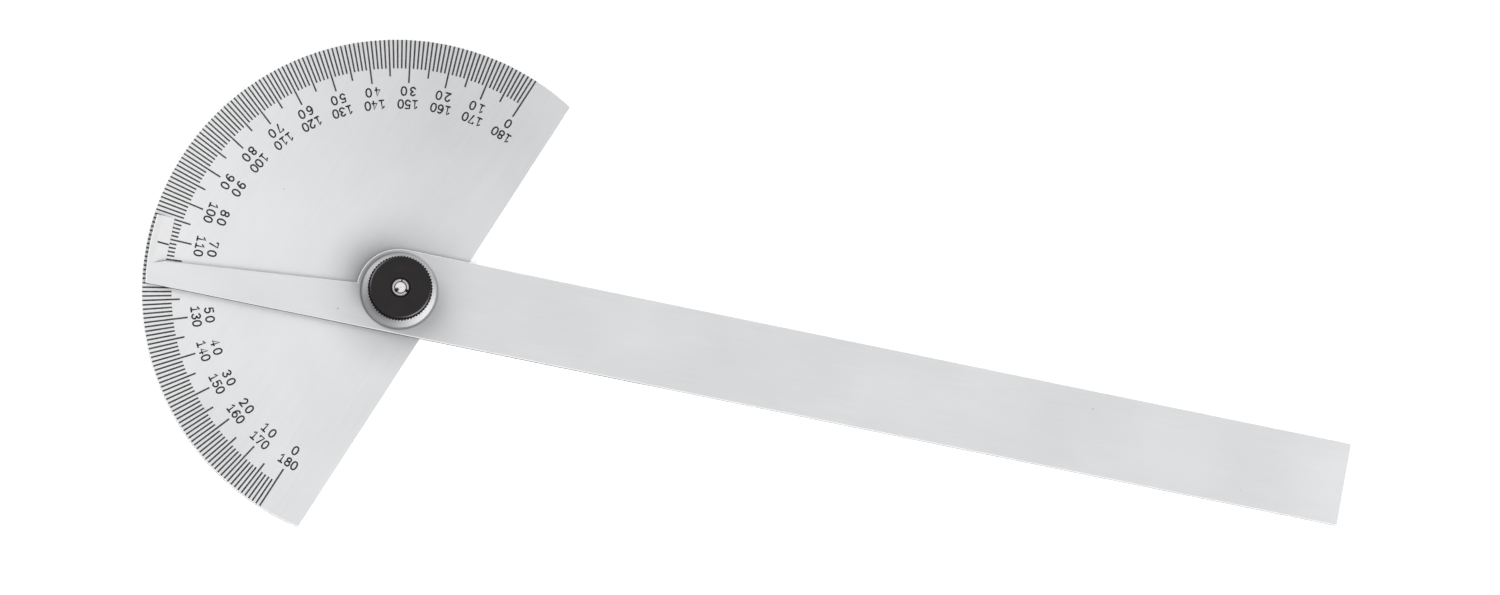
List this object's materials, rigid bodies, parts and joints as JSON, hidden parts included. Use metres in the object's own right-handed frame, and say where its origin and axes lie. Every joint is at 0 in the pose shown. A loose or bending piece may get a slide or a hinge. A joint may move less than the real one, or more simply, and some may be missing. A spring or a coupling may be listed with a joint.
{
  "type": "protractor",
  "caption": "Steel protractor: half-round graduated head, flat swinging arm with a bevelled index tip, dished washer and knurled clamp nut on a riveted stud.",
  "frame": {"origin": "pivot axis, on the head plate's back face", "axes": "+Z out of the graduated face; +X from the pivot towards the outer row's 0 mark; +Y towards the 90 mark, so the straight base edge faces -Y"},
  "size_m": [0.1078, 0.1952, 0.0078],
  "materials": {
    "head_plate": "satin chrome, black-filled engraving",
    "arm": "satin chrome",
    "pivot_stud": "bright turned",
    "spring_washer": "bright nickel",
    "clamp_nut": "black oxide, fine straight knurl"
  },
  "bodies": {
    "head": {"head_plate": "head_plate", "pivot_stud": "pivot_stud"},
    "arm": {"arm": "arm"},
    "washer": {"spring_washer": "spring_washer"},
    "nut": {"clamp_nut": "clamp_nut"}
  },
  "joints": [
    {"name": "arm_swing", "type": "hinge", "parent": "head", "child": "arm", "pos_m": [0, 0, 0], "axis": [0, 0, 1], "continuous": true},
    {"name": "clamp_lift", "type": "slide", "parent": "head", "child": "washer", "axis": [0, 0, 1], "range_m": [0, 0.000635]},
    {"name": "nut_turn", "type": "hinge", "parent": "washer", "child": "nut", "pos_m": [0, 0, 0], "axis": [0, 0, 1], "range_deg": [0, 360]}
  ],
  "couplings": [
    {"joint": "nut_turn", "follows": "clamp_lift", "rad_per_m": 9894.7}
  ]
}
